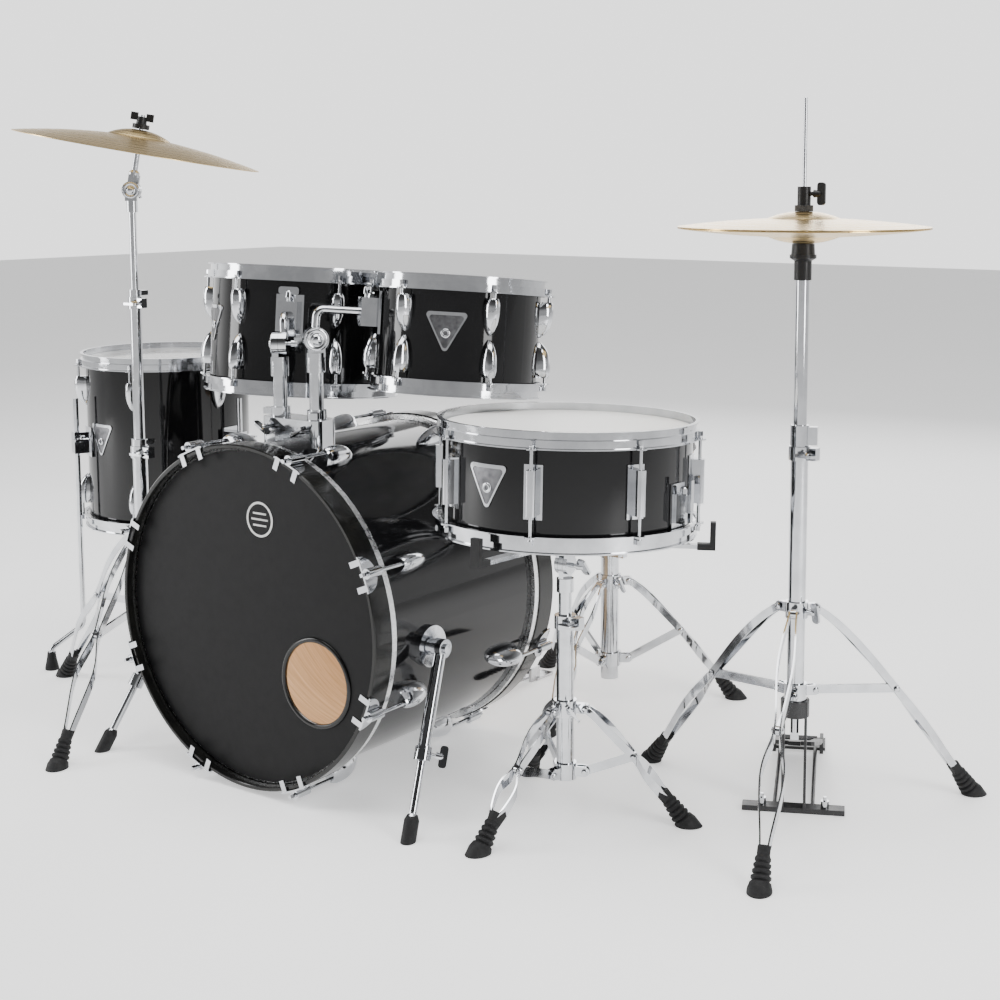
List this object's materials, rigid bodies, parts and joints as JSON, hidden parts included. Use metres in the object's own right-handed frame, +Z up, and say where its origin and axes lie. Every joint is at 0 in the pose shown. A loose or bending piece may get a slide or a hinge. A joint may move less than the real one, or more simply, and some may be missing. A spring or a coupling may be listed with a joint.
{
  "type": "acoustic drum kit",
  "caption": "Acoustic drum kit: bass drum with mounted toms, floor tom, snare on its stand, hi-hat, crash cymbal, pedals and throne, with clamps, tilters and pedals that move.",
  "frame": {"origin": "middle of the kit's bounding box, on the floor", "axes": "+Z up, +Y from the bass drum's front head towards the player, +X towards the hi-hat (the player's left hand side)"},
  "size_m": [1.7598, 0.9662, 1.039],
  "materials": {
    "bass_hoop_finish": "black lacquered maple",
    "chrome": "polished chrome plate",
    "clear_film": "smooth film with a bright ring",
    "coated_film": "white coated film with a bright ring",
    "cymbal_brass": "lathed light brass",
    "dark_metal": "dark textured powder coat",
    "front_film": "matte black film with a bright ring",
    "seat_vinyl": "black grained vinyl",
    "shell_finish": "high gloss black wrap",
    "snare_wire": "drawn steel wire"
  },
  "bodies": {
    "kit_frame": {"bass_shell": "shell_finish", "bass_hoops": "bass_hoop_finish", "bass_front_head": "front_film", "bass_batter_head": "coated_film", "bass_claws_and_rods": "chrome", "bass_lugs": "chrome", "bass_shell_brackets": "chrome", "floor_tom_shell": "shell_finish", "floor_tom_heads": "clear_film", "floor_tom_hoops": "chrome", "floor_tom_lugs_and_rods": "chrome", "snare_stand_base": "chrome", "hihat_stand_base": "chrome", "crash_stand_base": "chrome", "throne_base": "chrome", "bass_pedal_frame": "chrome"},
    "left_spur_leg": {"left_spur": "chrome"},
    "right_spur_leg": {"right_spur": "chrome"},
    "left_spur_tip": {"left_spur_rod": "chrome"},
    "right_spur_tip": {"right_spur_rod": "chrome"},
    "left_post": {"left_tom_post": "chrome"},
    "right_post": {"right_tom_post": "chrome"},
    "left_tom_unit": {"left_tom_arm": "chrome", "left_tom_shell": "shell_finish", "left_tom_heads": "clear_film", "left_tom_hoops": "chrome", "left_tom_lugs": "chrome", "left_tom_rods": "chrome"},
    "right_tom_unit": {"right_tom_arm": "chrome", "right_tom_shell": "shell_finish", "right_tom_heads": "clear_film", "right_tom_hoops": "chrome", "right_tom_lugs": "chrome", "right_tom_rods": "chrome"},
    "floor_front_leg": {"floor_tom_front_leg": "chrome"},
    "floor_side_leg": {"floor_tom_side_leg": "chrome"},
    "floor_rear_leg": {"floor_tom_rear_leg": "chrome"},
    "snare_post": {"snare_stand_tube": "chrome"},
    "snare_unit": {"snare_basket": "chrome", "snare_shell": "shell_finish", "snare_heads": "coated_film", "snare_hoops": "chrome", "snare_lugs": "chrome", "snare_rods": "chrome", "snare_wires_and_strainer": "snare_wire"},
    "strainer_lever": {"snare_strainer_lever": "chrome"},
    "hihat_post": {"hihat_upper_tube": "chrome", "hihat_bottom_cymbal": "cymbal_brass"},
    "hihat_rod": {"hihat_pull_rod": "chrome"},
    "hihat_top": {"hihat_clutch": "chrome", "hihat_top_cymbal": "cymbal_brass"},
    "hihat_pedal": {"hihat_footboard": "dark_metal"},
    "crash_middle": {"crash_middle_tube": "chrome"},
    "crash_upper": {"crash_top_tube": "chrome"},
    "crash_arm": {"crash_tilter": "chrome"},
    "crash_plate": {"crash_cymbal": "cymbal_brass"},
    "throne_tube": {"throne_post": "chrome"},
    "throne_top": {"throne_seat": "seat_vinyl"},
    "pedal_board": {"bass_pedal_footboard": "dark_metal"},
    "beater": {"bass_pedal_beater": "chrome"}
  },
  "joints": [
    {"name": "left_spur_fold", "type": "hinge", "parent": "kit_frame", "child": "left_spur_leg", "pos_m": [-0.32735, -0.23485, 0.24], "axis": [1, 0, 0], "range_deg": [0, 55]},
    {"name": "left_spur_length", "type": "slide", "parent": "left_spur_leg", "child": "left_spur_tip", "axis": [-0.1683, -0.4833, -0.8592], "range_m": [-0.05, 0.02]},
    {"name": "right_spur_fold", "type": "hinge", "parent": "kit_frame", "child": "right_spur_leg", "pos_m": [0.22665, -0.23485, 0.24], "axis": [1, 0, 0], "range_deg": [0, 55]},
    {"name": "right_spur_length", "type": "slide", "parent": "right_spur_leg", "child": "right_spur_tip", "axis": [0.1683, -0.4833, -0.8592], "range_m": [-0.05, 0.02]},
    {"name": "left_tom_height", "type": "slide", "parent": "kit_frame", "child": "left_post", "axis": [0, 0, 1], "range_m": [0, 0.05]},
    {"name": "left_tom_tilt", "type": "hinge", "parent": "left_post", "child": "left_tom_unit", "pos_m": [-0.08835, -0.23485, 0.672], "axis": [0.8213, 0.5704, 0], "range_deg": [-3, 20]},
    {"name": "right_tom_height", "type": "slide", "parent": "kit_frame", "child": "right_post", "axis": [0, 0, 1], "range_m": [0, 0.05]},
    {"name": "right_tom_tilt", "type": "hinge", "parent": "right_post", "child": "right_tom_unit", "pos_m": [-0.01235, -0.23485, 0.683], "axis": [-0.7837, 0.6211, 0], "range_deg": [-20, 0]},
    {"name": "floor_front_leg_height", "type": "slide", "parent": "kit_frame", "child": "floor_front_leg", "axis": [0, 0, 1], "range_m": [-0.03, 0.03]},
    {"name": "floor_side_leg_height", "type": "slide", "parent": "kit_frame", "child": "floor_side_leg", "axis": [0, 0, 1], "range_m": [-0.03, 0.03]},
    {"name": "floor_rear_leg_height", "type": "slide", "parent": "kit_frame", "child": "floor_rear_leg", "axis": [0, 0, 1], "range_m": [-0.03, 0.03]},
    {"name": "snare_height", "type": "slide", "parent": "kit_frame", "child": "snare_post", "axis": [0, 0, 1], "range_m": [-0.03, 0]},
    {"name": "snare_tilt", "type": "hinge", "parent": "snare_post", "child": "snare_unit", "pos_m": [0.40065, -0.16485, 0.376], "axis": [1, 0, 0], "range_deg": [-10, 2]},
    {"name": "strainer_lever_turn", "type": "hinge", "parent": "snare_unit", "child": "strainer_lever", "pos_m": [0.59253, -0.15473, 0.47371], "axis": [-0.0349, 0.9988, -0.0349], "range_deg": [0, 80]},
    {"name": "hihat_height", "type": "slide", "parent": "kit_frame", "child": "hihat_post", "axis": [0, 0, 1], "range_m": [0, 0.06]},
    {"name": "hihat_pedal_lift", "type": "hinge", "parent": "kit_frame", "child": "hihat_pedal", "pos_m": [0.55888, 0.27326, 0.02], "axis": [-0.9063, -0.4226, 0], "range_deg": [0, 5.5]},
    {"name": "hihat_pull", "type": "slide", "parent": "kit_frame", "child": "hihat_rod", "axis": [0, 0, 1], "range_m": [0, 0.0226]},
    {"name": "hihat_clutch_height", "type": "slide", "parent": "hihat_rod", "child": "hihat_top", "axis": [0, 0, 1], "range_m": [0, 0.06]},
    {"name": "crash_middle_height", "type": "slide", "parent": "kit_frame", "child": "crash_middle", "axis": [0, 0, 1], "range_m": [0, 0.06]},
    {"name": "crash_upper_height", "type": "slide", "parent": "crash_middle", "child": "crash_upper", "axis": [0, 0, 1], "range_m": [0, 0.06]},
    {"name": "crash_tilt_turn", "type": "hinge", "parent": "crash_upper", "child": "crash_arm", "pos_m": [-0.46935, -0.18985, 0.906], "axis": [-0.6018, 0.7986, 0], "range_deg": [-30, 30]},
    {"name": "crash_swing", "type": "hinge", "parent": "crash_arm", "child": "crash_plate", "pos_m": [-0.45526, -0.17923, 1.00606], "axis": [-0.6018, 0.7986, 0], "range_deg": [-3, 3]},
    {"name": "throne_height", "type": "slide", "parent": "kit_frame", "child": "throne_tube", "axis": [0, 0, 1], "range_m": [0, 0.08]},
    {"name": "throne_spin", "type": "hinge", "parent": "throne_tube", "child": "throne_top", "pos_m": [0.15765, 0.32815, 0.44], "axis": [0, 0, 1], "continuous": true},
    {"name": "bass_pedal_press", "type": "hinge", "parent": "kit_frame", "child": "pedal_board", "pos_m": [-0.05035, 0.32815, 0.02], "axis": [1, 0, 0], "range_deg": [0, 11.7]},
    {"name": "beater_swing", "type": "hinge", "parent": "kit_frame", "child": "beater", "pos_m": [-0.05035, 0.10915, 0.195], "axis": [1, 0, 0], "range_deg": [0, 50.8], "stiffness_Nm_per_rad": 1.2, "springref_deg": -22.92}
  ],
  "couplings": [
    {"joint": "hihat_pull", "follows": "hihat_pedal_lift", "m_per_rad": 0.23439},
    {"joint": "hihat_clutch_height", "follows": "hihat_height", "ratio": 1},
    {"joint": "beater_swing", "follows": "bass_pedal_press", "ratio": 4.3333}
  ]
}
